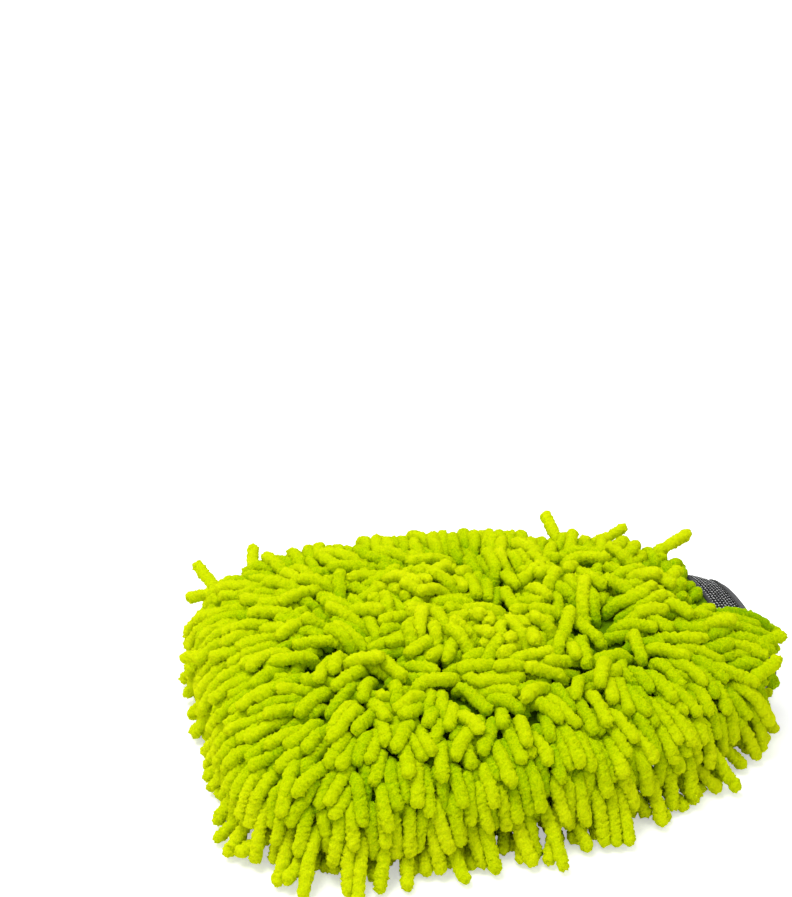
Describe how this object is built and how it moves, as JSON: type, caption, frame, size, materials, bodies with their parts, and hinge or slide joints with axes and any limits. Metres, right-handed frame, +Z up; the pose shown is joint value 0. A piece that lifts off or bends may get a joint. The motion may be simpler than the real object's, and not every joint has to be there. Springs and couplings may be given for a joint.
{
  "type": "wash mitt",
  "caption": "Chenille microfibre wash mitt: two tufted noodle-pile panels over foam and lining, seamed on three sides, with a flat elastic wrist cuff",
  "frame": {"origin": "on the surface that the mitt lies on, under the middle of its bounding box", "axes": "+X along the mitt from the finger end to the wrist cuff, +Y across the hand, +Z up from the palm panel to the back-of-hand panel"},
  "size_m": [0.284, 0.235, 0.062],
  "materials": {
    "chenille": "lime microfibre chenille strands with a velvety cut surface",
    "base_cloth": "dark lime knitted ground cloth that the strands are tufted into",
    "foam": "off-white open-cell foam sheet",
    "lining": "grey brushed knit lining",
    "cuff_knit": "dark grey stretch knit with light flecks in zigzag rows",
    "cuff_binding": "fine-ribbed dark grey folded edge tape",
    "elastic": "white ribbed woven elastic",
    "overlock_thread": "green overlocked polyester thread",
    "join_thread": "dark grey overlocked polyester thread"
  },
  "bodies": {
    "root": {"top_chenille_row_01": "chenille", "top_chenille_row_02": "chenille", "top_chenille_row_03": "chenille", "top_chenille_row_04": "chenille", "top_chenille_row_05": "chenille", "top_chenille_row_06": "chenille", "top_chenille_row_07": "chenille", "top_chenille_row_08": "chenille", "top_chenille_row_09": "chenille", "top_chenille_row_10": "chenille", "top_chenille_row_11": "chenille", "top_chenille_row_12": "chenille", "top_chenille_row_13": "chenille", "top_chenille_row_14": "chenille", "top_chenille_row_15": "chenille", "top_chenille_row_16": "chenille", "top_chenille_row_17": "chenille", "top_chenille_row_18": "chenille", "top_chenille_row_19": "chenille", "top_chenille_row_20": "chenille", "bottom_chenille_row_01": "chenille", "bottom_chenille_row_02": "chenille", "bottom_chenille_row_03": "chenille", "bottom_chenille_row_04": "chenille", "bottom_chenille_row_05": "chenille", "bottom_chenille_row_06": "chenille", "bottom_chenille_row_07": "chenille", "bottom_chenille_row_08": "chenille", "bottom_chenille_row_09": "chenille", "bottom_chenille_row_10": "chenille", "bottom_chenille_row_11": "chenille", "bottom_chenille_row_12": "chenille", "bottom_chenille_row_13": "chenille", "bottom_chenille_row_14": "chenille", "bottom_chenille_row_15": "chenille", "bottom_chenille_row_16": "chenille", "bottom_chenille_row_17": "chenille", "bottom_chenille_row_18": "chenille", "bottom_chenille_row_19": "chenille", "bottom_chenille_row_20": "chenille", "top_base_cloth": "base_cloth", "top_foam_sheet": "foam", "top_lining_panel": "lining", "bottom_base_cloth": "base_cloth", "bottom_foam_sheet": "foam", "bottom_lining_panel": "lining", "body_overlock_seam": "overlock_thread", "cuff_outer_ply": "cuff_knit", "cuff_inner_ply": "cuff_knit", "cuff_elastic_band": "elastic", "cuff_join_overlock": "join_thread", "cuff_edge_binding": "cuff_binding", "cuff_topstitch_thread": "join_thread"}
  },
  "joints": []
}
